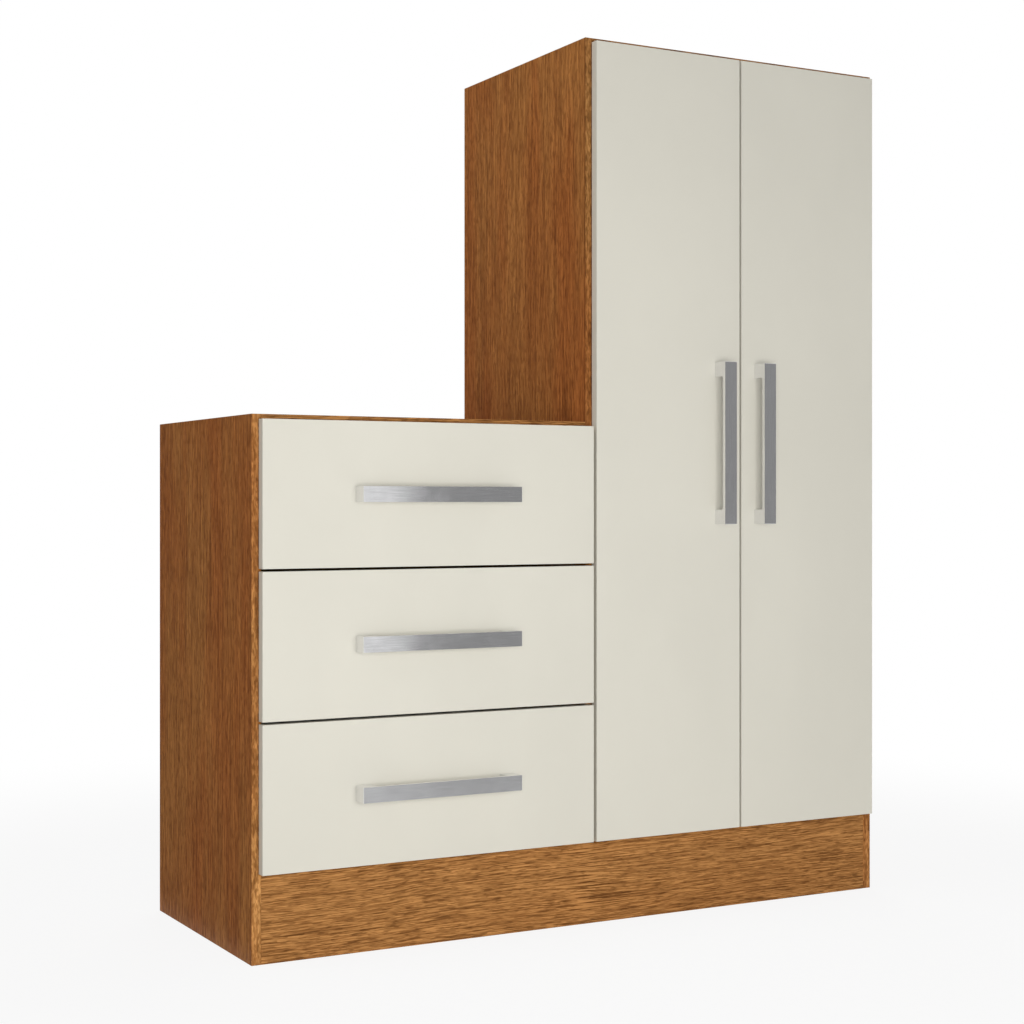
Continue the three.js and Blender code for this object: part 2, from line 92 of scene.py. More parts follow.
class NodeWork:
    """Puts nodes into a tree and wires them up."""

    def __init__(self, tree: bpy.types.NodeTree) -> None:
        """Takes the tree to work in."""
        self.tree = tree

    def node(self, kind: str, inputs: dict | None = None, **settings: object) -> bpy.types.Node:
        """Adds a node.

        Args:
            kind: Blender's name for the type of node.
            inputs: What to feed its inputs with, by their names or numbers.
            settings: Properties to set on it.

        Returns:
            The new node.
        """
        made = self.tree.nodes.new(kind)
        for name, value in settings.items():
            setattr(made, name, value)
        for name, value in (inputs or {}).items():
            self.feed(made.inputs[name], value)
        return made

    def feed(self, socket: Socket, value: object) -> None:
        """Links a socket to another, or sets its own value.

        Args:
            socket: The input to feed.
            value: An output socket, a number, a colour or a vector.
        """
        if isinstance(value, bpy.types.NodeSocket):
            self.tree.links.new(value, socket)
        elif socket.type == "RGBA":
            socket.default_value = (*value, 1.0)
        else:
            socket.default_value = value

    def maths(self, operation: str, first: object, second: object = 0.0) -> Socket:
        """Works out a sum of two sockets or numbers."""
        return self.node("ShaderNodeMath", {0: first, 1: second}, operation=operation).outputs[0]

    def background_rays(self) -> Socket:
        """Marks the rays that show the background: the camera's own, and those that gloss or glass sends on.

        Returns:
            1 for such a ray and 0 for any other.
        """
        path = self.node("ShaderNodeLightPath")
        seen = path.outputs["Is Camera Ray"]
        for name in ("Is Glossy Ray", "Is Transmission Ray"):
            seen = self.maths("MAXIMUM", seen, path.outputs[name])
        return seen


class Paint(NodeWork):
    """The tree of one material, with nothing in it but its output."""

    def __init__(self, name: str) -> None:
        """Makes the material.

        Args:
            name: The material's name.
        """
        self.material = bpy.data.materials.new(name)
        self.material.use_nodes = True
        super().__init__(self.material.node_tree)
        self.tree.nodes.clear()
        self.output = self.node("ShaderNodeOutputMaterial").inputs["Surface"]


class Graph(Paint):
    """The tree of one finish, built round its surface shader."""

    edge_wear_and_highlight_span = (0.75, 0.99)

    def __init__(self, name: str, grain: Grain = Grain.UPRIGHT) -> None:
        """Makes the material with its surface shader.

        Args:
            name: The material's name.
            grain: The axis that its stretched noises follow.
        """
        super().__init__(name)
        self.grain = grain
        self.surface = self.node("ShaderNodeBsdfPrincipled")
        self.feed(self.output, self.surface.outputs["BSDF"])
        self.place = self.node("ShaderNodeTexCoord").outputs["Object"]
        self.facing = self.node("ShaderNodeTexCoord").outputs["Normal"]

    def noise(self, place: Socket, detail: float = 2.0, roughness: float = 0.5,
              scale: float = 1.0) -> Socket:
        """Adds a noise from 0 to 1, whose scale is the number of its features in a unit."""
        inputs = {"Vector": place, "Scale": scale, "Detail": detail, "Roughness": roughness}
        return self.node("ShaderNodeTexNoise", inputs).outputs["Fac"]

    def stretched(self, place: Socket, across: float, along: float, detail: float = 2.0) -> Socket:
        """Adds a noise that is stretched along the grain.

        Args:
            place: Where it is read.
            across: The width of its features in metres.
            along: Their length in metres.
            detail: How many finer layers it has.

        Returns:
            The noise, from 0 to 1.
        """
        scale = [1 / across] * 3
        scale[self.grain.value] = 1 / along
        mapping = self.node("ShaderNodeMapping", {"Vector": place, "Scale": scale})
        return self.noise(mapping.outputs["Vector"], detail)

    def span(self, value: Socket, low: float, high: float, start: float = 0.0, end: float = 1.0) -> Socket:
        """Maps a value smoothly, to start at low and below and to end at high and above."""
        inputs = {"Value": value, "From Min": low, "From Max": high, "To Min": start, "To Max": end}
        return self.node("ShaderNodeMapRange", inputs, interpolation_type="SMOOTHSTEP").outputs["Result"]

    def layer(self, place: Socket, layer: Layer) -> Socket:
        """Adds a layer's noise and shows its span."""
        noise = self.stretched(place, layer.across, layer.along, layer.detail)
        return self.span(noise, layer.low, layer.high, layer.least, layer.most)

    def shifted(self, place: Socket, across: float, along: float, reach: float) -> Socket:
        """Shifts a place by a slow noise.

        Args:
            place: The place to shift.
            across: The width of the noise's features in metres.
            along: Their length in metres.
            reach: The greatest shift in metres.

        Returns:
            The shifted place.
        """
        slow = self.stretched(self.place, across, along)
        shift = self.maths("MULTIPLY", self.maths("SUBTRACT", slow, 0.5), 2 * reach)
        return self.node("ShaderNodeVectorMath", {0: place, 1: shift}, operation="ADD").outputs[0]

    def blend(self, share: object, first: object, second: object, kind: str = "MIX") -> Socket:
        """Blends two colours, of which the second shows by its share."""
        inputs = {"Factor": share, 6: first, 7: second}
        return self.node("ShaderNodeMix", inputs, data_type="RGBA", blend_type=kind).outputs[2]

    def tinted(self, colour: object, share: object, tint: object) -> Socket:
        """Multiplies a colour by a tint where a share shows."""
        return self.blend(share, colour, tint, "MULTIPLY")

    def side_of(self, axis: int, sign: float, both: bool = False) -> Socket:
        """Marks the faces that look one way.

        Args:
            axis: The axis that they look along.
            sign: Which way along it.
            both: Whether the faces that look the other way are marked too.

        Returns:
            1 on those faces and 0 elsewhere.
        """
        parts = self.node("ShaderNodeSeparateXYZ", {0: self.facing})
        along = self.maths("MULTIPLY", parts.outputs[axis], sign)
        if both:
            along = self.maths("ABSOLUTE", along)
        return self.maths("GREATER_THAN", along, 0.5)

    def behind(self, front: float) -> Socket:
        """Measures how far a place lies behind a plane that faces the front."""
        parts = self.node("ShaderNodeSeparateXYZ", {0: self.place})
        return self.maths("SUBTRACT", parts.outputs[1], front)

    def edge_wear_and_highlight(self, colour: Socket, radius: float, share: float, bare: Colour) -> Socket:
        """Marks the edges of the piece: wear on some finishes, a painted highlight on others.

        Args:
            colour: The colour of the finish.
            radius: How far from the edge the mark reaches, in metres.
            share: How much of the edge colour shows at the edge.
            bare: The edge colour: the bare material where it is wear, a brighter tone where it is a painted
                highlight.

        Returns:
            The worn colour.
        """
        rounded = self.node("ShaderNodeBevel", {"Radius": radius}, samples=4).outputs["Normal"]
        plain = self.node("ShaderNodeNewGeometry").outputs["Normal"]
        dot = self.node("ShaderNodeVectorMath", {0: rounded, 1: plain}, operation="DOT_PRODUCT")
        return self.blend(self.span(dot.outputs["Value"], *self.edge_wear_and_highlight_span, share, 0.0), colour, bare)

    def relief(self, height: Socket, depth: float) -> None:
        """Gives the surface a relief from a height of 0 to 1, with its depth in metres."""
        bump = self.node("ShaderNodeBump", {"Strength": 1.0, "Distance": depth, "Height": height})
        self.feed(self.surface.inputs["Normal"], bump.outputs["Normal"])

    def finished(self, colour: object, roughness: object, **constants: float) -> bpy.types.Material:
        """Sets the surface shader's own sockets.

        Args:
            colour: The base colour.
            roughness: The roughness.
            constants: Other sockets by name, with a space for each underline.

        Returns:
            The finished material.
        """
        self.feed(self.surface.inputs["Base Color"], colour)
        self.feed(self.surface.inputs["Roughness"], roughness)
        for name, value in constants.items():
            self.surface.inputs[name.replace("_", " ")].default_value = value
        return self.material


@dataclass(frozen=True)
class WoodFoil:
    """A printed oak foil: growth lines that waver, streaks, fibres, short pores and slow changes of tone.

    Each tint multiplies the light tone. A drift is the width and length of a slow noise and how far it
    shifts the print. The band is the strip of foil on a board's front edge, and its two tints are its light
    and dark fibres. The seam behind the band is a dark glue line and painted shade along the front edge.
    The tint of the faces that look left or right is painted shade. The lightened edges are partly wear and
    partly a painted highlight. A raw side, given as an axis and a sign, has no foil and shows the pressed
    chips.
    """

    name: str
    grain: Grain
    light: Colour = (0.460, 0.215, 0.067)
    drifts: tuple[tuple[float, float, float], ...] = ((0.09, 0.30, 0.007), (0.009, 0.035, 0.0004))
    broad: Layer = Layer(0.085, 0.90, *MIDDLE_OF_IT, detail=2.0)
    broad_tint: Colour = (0.97, 0.94, 0.91)
    streaks: Layer = Layer(0.006, 0.11, 0.38, 0.62, detail=2.0)
    streak_tints: tuple[Colour, Colour] = ((1.02, 1.02, 1.02), (0.97, 0.97, 0.96))
    fibre_size: Size = (0.0013, 0.040)
    fibre_strength: float = 0.72
    fibre_span: Size = (0.48, 0.62)
    fibre_tint: Colour = (0.56, 0.49, 0.42)
    fleck_span: Size = (0.46, 0.35)
    fleck_tint: Colour = (1.34, 1.38, 1.42)
    lines: Layer = Layer(0.0013, 0.070, 0.52, 0.64, most=0.62)
    line_tint: Colour = (0.34, 0.27, 0.20)
    figure_size: Size = (0.045, 0.42)
    rings: float = 26.0
    ring_span: Size = (0.30, 0.48)
    ring_strength: float = 0.06
    dashes: Layer = Layer(0.0040, 0.045, 0.40, 0.56)
    pores: Layer = Layer(0.0013, 0.0140, 0.50, 0.62, most=0.58)
    zones: Layer = Layer(0.018, 0.22, 0.42, 0.60, least=0.85, detail=2.0)
    pore_tint: Colour = (0.28, 0.21, 0.15)
    pore_dulling: float = 0.15
    # Painted shade: tints the faces that look left or right.
    side_face_shade_tint: Colour = (1.0, 1.0, 1.0)
    band: Layer = Layer(0.0022, 0.007, 0.42, 0.58)
    band_tints: tuple[Colour, Colour] = ((1.0, 1.0, 1.0), (1.0, 1.0, 1.0))
    # The seam's tint, reach and fade draw a glue line that also stands for painted shade behind the front
    # edge.
    seam_glue_and_shade_tint: Colour = (0.42, 0.36, 0.30)
    seam_glue_and_shade_reach: float = 0.0016
    seam_glue_and_shade_fade_share: float = 1.4
    edge_wear_and_highlight_extent: Size = (0.0005, 0.3)
    roughness: Size = (0.46, 0.54)
    fibre_relief_share: float = 0.4
    relief_depth: float = 0.00005
    raw_sides: tuple[tuple[int, float], ...] = ((1, 1.0),)
    raw_roughness: float = 0.85
    chip_size: float = 0.0028
    chip_span: Size = (0.34, 0.66)
    chip_light: Colour = (0.52, 0.37, 0.21)
    chip_dark: Colour = (0.25, 0.155, 0.08)

    def ground(self, graph: Graph, place: Socket, fibres: Socket) -> Socket:
        """Draws the tone of the wood with its streaks and fibres.

        Args:
            graph: The material's graph.
            place: The drifting place.
            fibres: The noise of the fibres.

        Returns:
            The colour.
        """
        darker = tuple(tone * share for tone, share in zip(self.light, self.broad_tint))
        wood = graph.blend(graph.layer(place, self.broad), self.light, darker)
        wood = graph.tinted(wood, 1.0, graph.blend(graph.layer(place, self.streaks), *self.streak_tints))
        for span, tint in ((self.fibre_span, self.fibre_tint), (self.fleck_span, self.fleck_tint)):
            wood = graph.tinted(wood, graph.span(fibres, *span, 0.0, self.fibre_strength), tint)
        return wood

    def growth_lines(self, graph: Graph, place: Socket) -> Socket:
        """Draws the dark growth lines: long straight ones and the arches of the figure.

        Args:
            graph: The material's graph.
            place: The drifting place.

        Returns:
            How dark the line is, from 0 to 1.
        """
        figure = graph.stretched(place, *self.figure_size, detail=1.0)
        wave = graph.maths("PINGPONG", graph.maths("MULTIPLY", figure, self.rings), 0.5)
        arches = graph.span(wave, *self.ring_span, 0.0, self.ring_strength)
        broken = graph.maths("MULTIPLY", arches, graph.layer(place, self.dashes))
        return graph.maths("MAXIMUM", graph.layer(place, self.lines), broken)

    def front_band(self, graph: Graph, wood: Socket) -> Socket:
        """Draws the band on the front edge and the seam behind it, a dark glue line and painted shade.

        Args:
            graph: The material's graph.
            wood: The colour of the foil.

        Returns:
            The colour with both.
        """
        front = graph.side_of(1, -1.0)
        band = graph.blend(graph.layer(graph.place, self.band), *self.band_tints)
        wood = graph.tinted(wood, front, band)
        # The seam is a glue line and painted shade: it darkens the sides of the board just behind its front
        # edge.
        seam_glue_and_shade_end = self.seam_glue_and_shade_fade_share * self.seam_glue_and_shade_reach
        glue_line_and_shade = graph.span(graph.behind(CARCASS_FRONT), self.seam_glue_and_shade_reach, seam_glue_and_shade_end, 1.0, 0.0)
        glue_line_and_shade = graph.maths("MULTIPLY", glue_line_and_shade, graph.maths("SUBTRACT", 1.0, front))
        return graph.tinted(wood, glue_line_and_shade, self.seam_glue_and_shade_tint)

    def chips(self, graph: Graph) -> Socket:
        """Draws the pressed chips of a raw side."""
        chips = graph.noise(graph.place, detail=3.0, roughness=0.75, scale=1 / self.chip_size)
        return graph.blend(graph.span(chips, *self.chip_span), self.chip_dark, self.chip_light)

    def build(self) -> bpy.types.Material:
        """Makes the foil's material.

        Returns:
            The material.
        """
        graph = Graph(self.name, self.grain)
        place = graph.place
        for drift in self.drifts:
            place = graph.shifted(place, *drift)
        fibres = graph.stretched(place, *self.fibre_size)
        marks = graph.maths("MULTIPLY", graph.layer(place, self.pores), graph.layer(place, self.zones))
        wood = self.ground(graph, place, fibres)
        wood = graph.tinted(wood, self.growth_lines(graph, place), self.line_tint)
        wood = graph.tinted(wood, marks, self.pore_tint)
        # Painted shade: the faces that look left or right are tinted darker and warmer than the others.
        wood = graph.tinted(wood, graph.side_of(0, 1.0, both=True), self.side_face_shade_tint)
        # Lightens the colour along the edges towards the light tone: partly wear, partly a painted
        # highlight.
        wood = graph.edge_wear_and_highlight(self.front_band(graph, wood), *self.edge_wear_and_highlight_extent, self.light)
        gloss = graph.span(fibres, *MOST_OF_IT, *self.roughness)
        gloss = graph.maths("ADD", gloss, graph.maths("MULTIPLY", marks, self.pore_dulling))
        for axis, sign in self.raw_sides:
            raw = graph.side_of(axis, sign)
            wood = graph.blend(raw, wood, self.chips(graph))
            gloss = graph.maths("MAXIMUM", gloss, graph.maths("MULTIPLY", raw, self.raw_roughness))
        raised = graph.maths("MULTIPLY", fibres, self.fibre_relief_share)
        graph.relief(graph.maths("SUBTRACT", raised, marks), self.relief_depth)
        return graph.finished(wood, gloss, Specular_IOR_Level=0.08)


@dataclass(frozen=True)
class PlainFoil:
    """A smooth one-colour foil with a faint peel, slight clouding, specks and a rubbed edge."""

    name: str
    colour: Colour
    roughness: float = 0.36
    dulling: float = 0.05
    clouding: float = 0.035
    clouds: Size = (0.16, 0.256)
    peel_size: float = 0.0011
    peel_depth: float = 0.000012
    speck_size_share: float = 0.6
    speck_span: Size = (0.60, 0.75)
    speck_strength: float = 0.03
    speck_colour: Colour = (0.45, 0.42, 0.34)
    edge_wear_and_highlight_extent: Size = (0.0006, 0.25)
    edge_wear_and_highlight_share: float = 0.8

    def build(self) -> bpy.types.Material:
        """Makes the foil's material.

        Returns:
            The material.
        """
        graph = Graph(self.name)
        clouds = graph.stretched(graph.place, *self.clouds, detail=3.0)
        peel = graph.noise(graph.place, detail=2.0, scale=1 / self.peel_size)
        specks = graph.noise(graph.place, detail=1.0, scale=1 / (self.speck_size_share * self.peel_size))
        specks = graph.span(specks, *self.speck_span, 0.0, self.speck_strength)
        clouded = shaded(self.colour, 1 - self.clouding)
        tone = graph.blend(graph.span(clouds, *MOST_OF_IT), clouded, self.colour)
        tone = graph.blend(specks, tone, self.speck_colour)
        tone = graph.edge_wear_and_highlight(tone, *self.edge_wear_and_highlight_extent, shaded(self.colour, self.edge_wear_and_highlight_share))
        sheen = graph.span(clouds, *MOST_OF_IT, self.roughness + self.dulling, self.roughness)
        graph.relief(peel, self.peel_depth)
        return graph.finished(tone, sheen, IOR=1.5)


@dataclass(frozen=True)
class PressedSheet:
    """A pressed fibre sheet: foil on the face that looks into the piece, bare fibres on the back."""

    name: str
    foil: Colour = (0.335, 0.160, 0.056)
    fibre_light: Colour = (0.36, 0.215, 0.105)
    fibre_dark: Colour = (0.215, 0.115, 0.052)
    flake_size: float = 0.0035
    clouds_in_flakes: float = 30.0
    cloud_strength: float = 0.25
    weave_size: float = 0.0016
    weave_depth: float = 0.00012
    streak_size: Size = (0.004, 0.2)
    streak_share: float = 0.72
    roughness: Size = (0.60, 0.85)

    def build(self) -> bpy.types.Material:
        """Makes the sheet's material.

        Returns:
            The material.
        """
        graph = Graph(self.name)
        flakes = graph.noise(graph.place, detail=5.0, roughness=0.7, scale=1 / self.flake_size)
        clouds = graph.noise(graph.place, scale=1 / (self.clouds_in_flakes * self.flake_size))
        clouds = graph.span(clouds, *MIDDLE_OF_IT, 0.0, self.cloud_strength)
        tangle = graph.noise(graph.place, detail=3.0, scale=1 / self.weave_size)
        bare = graph.blend(graph.span(flakes, *MOST_OF_IT), self.fibre_dark, self.fibre_light)
        bare = graph.blend(clouds, bare, self.fibre_dark)
        streaks = graph.span(graph.stretched(graph.place, *self.streak_size, detail=4.0), *MOST_OF_IT)
        printed = graph.blend(streaks, shaded(self.foil, self.streak_share), self.foil)
        inner = graph.side_of(1, -1.0)
        outer = graph.maths("SUBTRACT", 1.0, inner)
        graph.relief(graph.maths("MULTIPLY", tangle, outer), self.weave_depth)
        rough = graph.span(tangle, *MOST_OF_IT, *self.roughness)
        return graph.finished(graph.blend(inner, bare, printed), rough, IOR=1.45)


@dataclass(frozen=True)
class BrushedMetal:
    """A plated metal with fine brushing along one axis, dull patches and a painted highlight along its
    edges.
    """

    name: str
    colour: Colour
    grain: Grain
    roughness: float = 0.3
    brush_size: Size = (0.00035, 0.030)
    brush_depth: float = 0.000004
    brush_shade: float = 0.86
    brush_dulling: float = 0.03
    patches_in_metre: float = 45.0
    patch_reach: Size = (-0.03, 0.05)
    # The brighter edge tone is a painted highlight.
    edge_wear_and_highlight_extent: Size = (0.0004, 0.6)
    edge_wear_and_highlight_share: float = 1.25

    def build(self) -> bpy.types.Material:
        """Makes the metal's material.

        Returns:
            The material.
        """
        graph = Graph(self.name, self.grain)
        brushing = graph.stretched(graph.place, *self.brush_size)
        patches = graph.noise(graph.place, detail=3.0, scale=self.patches_in_metre)
        brushed = shaded(self.colour, self.brush_shade)
        tone = graph.blend(graph.span(brushing, *BRUSHED_SPAN), brushed, self.colour)
        # Painted highlight: brightens the colour along the edges.
        tone = graph.edge_wear_and_highlight(tone, *self.edge_wear_and_highlight_extent, shaded(self.colour, self.edge_wear_and_highlight_share))
        polished, dull = (self.roughness + reach for reach in self.patch_reach)
        rough = graph.maths("ADD", graph.span(patches, *MOST_OF_IT, polished, dull),
                            graph.span(brushing, *BRUSHED_SPAN, self.brush_dulling, 0.0))
        graph.relief(brushing, self.brush_depth)
        return graph.finished(tone, rough, Metallic=1.0)


@dataclass(frozen=True)
class PowderCoat:
    """A powder-coated steel with its fine pebbled skin."""

    name: str
    colour: Colour = (0.80, 0.80, 0.78)
    pebble_size: float = 0.0009
    pebble_depth: float = 0.00002
    grime_in_metre: float = 35.0
    grime_span: Size = (0.5, 0.8)
    grime_shade: float = 0.86
    edge_wear_and_highlight_extent: Size = (0.0003, 0.3)
    bare_steel: Colour = (0.5, 0.5, 0.48)
    roughness: Size = (0.38, 0.50)

    def build(self) -> bpy.types.Material:
        """Makes the coat's material.

        Returns:
            The material.
        """
        graph = Graph(self.name)
        pebbles = graph.noise(graph.place, scale=1 / self.pebble_size)
        grime = graph.noise(graph.place, detail=4.0, scale=self.grime_in_metre)
        grimy = shaded(self.colour, self.grime_shade)
        tone = graph.blend(graph.span(grime, *self.grime_span), self.colour, grimy)
        tone = graph.edge_wear_and_highlight(tone, *self.edge_wear_and_highlight_extent, self.bare_steel)
        graph.relief(pebbles, self.pebble_depth)
        return graph.finished(tone, graph.span(pebbles, *MOST_OF_IT, *self.roughness), IOR=1.5)


@dataclass(frozen=True)
class MouldedPlastic:
    """A moulded plastic with a fine grained skin."""

    name: str
    colour: Colour
    roughness: float = 0.42
    unevenness: float = 0.04
    skin_size: float = 0.0006
    skin_depth: float = 0.00001
    clouds_in_metre: float = 80.0
    cloud_shade: float = 0.92

    def build(self) -> bpy.types.Material:
        """Makes the plastic's material.

        Returns:
            The material.
        """
        graph = Graph(self.name)
        skin = graph.noise(graph.place, scale=1 / self.skin_size)
        clouds = graph.span(graph.noise(graph.place, scale=self.clouds_in_metre), *MOST_OF_IT)
        graph.relief(skin, self.skin_depth)
        smooth, rough = (self.roughness + way * self.unevenness for way in (-1, 1))
        tone = graph.blend(clouds, self.colour, shaded(self.colour, self.cloud_shade))
        return graph.finished(tone, graph.span(skin, *MOST_OF_IT, smooth, rough), IOR=1.46)


Finish = WoodFoil | PlainFoil | PressedSheet | BrushedMetal | PowderCoat | MouldedPlastic

UPRIGHT_OAK = WoodFoil(
    "upright_oak", Grain.UPRIGHT,
    broad=Layer(0.075, 0.42, *MIDDLE_OF_IT, detail=2.0),
    broad_tint=(0.92, 0.76, 0.68),
    streaks=Layer(0.0085, 0.12, 0.38, 0.62, detail=2.0),
    streak_tints=((1.05, 1.06, 1.07), (0.94, 0.92, 0.90)),
    fibre_size=(0.0032, 0.030),
    fibre_strength=0.46,
    lines=Layer(0.0042, 0.26, 0.52, 0.64, most=0.34),
    rings=12.0,
    ring_strength=0.20,
    dashes=Layer(0.006, 0.035, 0.40, 0.56),
    pores=Layer(0.0030, 0.0110, 0.50, 0.62, most=0.36),
    zones=Layer(0.030, 0.22, 0.42, 0.60, least=0.85, detail=2.0),
    # Painted shade: the big side faces are darker and warmer than the edges.
    side_face_shade_tint=(0.99, 0.84, 0.66),
    band_tints=((1.24, 1.31, 1.36), (0.83, 0.80, 0.74)),
    raw_sides=((1, 1.0), (2, -1.0)))
# Painted shade: the centre panel's front band is toned darker for the shade that the doors cast on it.
CENTRE_OAK_SHADED_BAND = replace(UPRIGHT_OAK, name="centre_oak_shaded_band", band_tints=((0.90, 0.90, 0.90), (0.58, 0.54, 0.48)))
SIDEWAYS_OAK = WoodFoil("sideways_oak", Grain.SIDEWAYS)
PLINTH_OAK = WoodFoil("plinth_oak", Grain.SIDEWAYS, raw_sides=((2, 1.0), (2, -1.0)))
CREAM = PlainFoil("cream_front", (0.714, 0.690, 0.602))
WHITE = PlainFoil("white_drawer_board", (0.78, 0.76, 0.70), roughness=0.5, peel_size=0.0008)
BACK_SHEET = PressedSheet("back_sheet")
SIDEWAYS_CHROME = BrushedMetal("sideways_satin_chrome", (0.87, 0.87, 0.88), Grain.SIDEWAYS, roughness=0.16)
UPRIGHT_CHROME = replace(SIDEWAYS_CHROME, name="upright_satin_chrome", grain=Grain.UPRIGHT)
NICKEL = BrushedMetal("nickel_plate", (0.76, 0.75, 0.72), Grain.UPRIGHT, roughness=0.26)
NICKEL_TUBE = BrushedMetal("nickel_tube", (0.80, 0.79, 0.77), Grain.SIDEWAYS, roughness=0.2)
ZINC = BrushedMetal(
    "zinc_screw", (0.60, 0.60, 0.60), Grain.UPRIGHT, roughness=0.32, brush_size=(0.0008, 0.0008))
ENAMEL = PowderCoat("white_enamel")
CAP_PLASTIC = MouldedPlastic("oak_cap", (0.30, 0.145, 0.052))
WHITE_CAP_PLASTIC = MouldedPlastic("white_cap", (0.74, 0.72, 0.66))
CLEAR_RUBBER = MouldedPlastic("door_buffer", (0.62, 0.62, 0.58), roughness=0.25)


def made_once(finish: Finish) -> bpy.types.Material:
    """Gives a finish's material, and makes it at the first call."""
    return bpy.data.materials.get(finish.name) or finish.build()


class GeometryWork(NodeWork):
    """A group of geometry nodes that a modifier runs."""

    def __init__(self, name: str) -> None:
        """Makes the group with its input and output.

        Args:
            name: The group's name.
        """
        super().__init__(bpy.data.node_groups.new(name, "GeometryNodeTree"))
        self.tree.is_modifier = True
        for way in ("INPUT", "OUTPUT"):
            self.tree.interface.new_socket("Geometry", in_out=way, socket_type="NodeSocketGeometry")
        self.start = self.node("NodeGroupInput").outputs[0]
        self.end = self.node("NodeGroupOutput").inputs[0]

    def add_to(self, piece: bpy.types.Object, name: str) -> None:
        """Adds the group to a piece as a modifier."""
        piece.modifiers.new(name, "NODES").node_group = self.tree


class EdgeTool(GeometryWork):
    """Rounds off CAD nodes: welds the facets, smooths the round stretches and bevels the sharp edges."""

    weld_distance = 0.000002
    sharp_angle = math.radians(35)
    bevel_segments = 2

    def __init__(self) -> None:
        """Builds the node group that welds and smooths."""
        super().__init__("weld_and_smooth")
        angle = self.node("GeometryNodeInputMeshEdgeAngle").outputs["Unsigned Angle"]
        steep = self.maths("GREATER_THAN", angle, self.sharp_angle)
        sharp = {"Selection": steep, "Shade Smooth": False}
        steps = (
            self.node("GeometryNodeRemoveAttribute", {"Name": "custom_normal"}),
            self.node("GeometryNodeMergeByDistance", {"Distance": self.weld_distance}),
            self.node("GeometryNodeSetShadeSmooth", {"Shade Smooth": True}, domain="FACE"),
            self.node("GeometryNodeSetShadeSmooth", sharp, domain="EDGE"),
        )
        flow = self.start
        for step in steps:
            self.feed(step.inputs[0], flow)
            flow = step.outputs[0]
        self.feed(self.end, flow)

    def apply(self, piece: bpy.types.Object, width: float) -> None:
        """Rounds a piece's edges.

        Args:
            piece: The object to work on.
            width: The width of the rounding in metres, or 0 for none.
        """
        self.add_to(piece, "weld")
        if width > 0:
            bevel = piece.modifiers.new("edges", "BEVEL")
            bevel.width = width
            bevel.segments = self.bevel_segments
            bevel.limit_method = "ANGLE"
            bevel.angle_limit = self.sharp_angle
            bevel.harden_normals = True


EDGES = EdgeTool()


def dress(node: str, finish: Finish, edge: float = 0.0) -> None:
    """Gives a CAD node its finish and its rounded edges.

    Args:
        node: The node's name.
        finish: One of the finishes.
        edge: The width of the rounding in metres.
    """
    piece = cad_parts[node]
    piece.material_slots[0].material = made_once(finish)
    EDGES.apply(piece, edge)


def placed(mesh: Mesh, name: str, finish: Finish, body: str) -> None:
    """Turns a built mesh into a piece that rides on a body.

    Args:
        mesh: The built mesh, which is used up.
        name: The piece's name.
        finish: One of the finishes.
        body: The body that it rides on.
    """
    data = bpy.data.meshes.new(name)
    bmesh.ops.recalc_face_normals(mesh, faces=mesh.faces)
    mesh.to_mesh(data)
    mesh.free()
    data.materials.append(made_once(finish))
    piece = bpy.data.objects.new(name, data)
    bpy.context.scene.collection.objects.link(piece)
    data.shade_smooth()
    data.set_sharp_from_angle(angle=EDGES.sharp_angle)
    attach(piece, body)


def standing(place: Vector, out: Vector) -> Matrix:
    """Gives the frame of something at a place, with its Z axis pointing out."""
    return Matrix.Translation(place) @ out.to_track_quat("Z", "Y").to_matrix().to_4x4()


def circle(radius: float, sides: int) -> list[Size]:
    """Gives the corners of a round outline, in order."""
    turns = [2 * math.pi * side / sides for side in range(sides)]
    return [(radius * math.cos(turn), radius * math.sin(turn)) for turn in turns]


def turned(mesh: Mesh, profile: Sequence[Size], at: Matrix, sides: int = 24) -> None:
    """Adds a turned solid to a mesh.

    Args:
        mesh: The mesh to add to.
        profile: Radius and height of each ring. A radius of 0 closes the end.
        at: The frame of the solid, whose axis is Z.
        sides: How many sides it has.
    """
    rings = []
    for radius, height in profile:
        outline = circle(radius, sides if radius > 0 else 1)
        rings.append([mesh.verts.new(at @ Vector((x, y, height))) for x, y in outline])
    for low, high in zip(rings, rings[1:]):
        for side in range(sides):
            after = (side + 1) % sides
            if len(low) == 1:
                mesh.faces.new((low[0], high[side], high[after]))
            elif len(high) == 1:
                mesh.faces.new((low[side], low[after], high[0]))
            else:
                mesh.faces.new((low[side], low[after], high[after], high[side]))


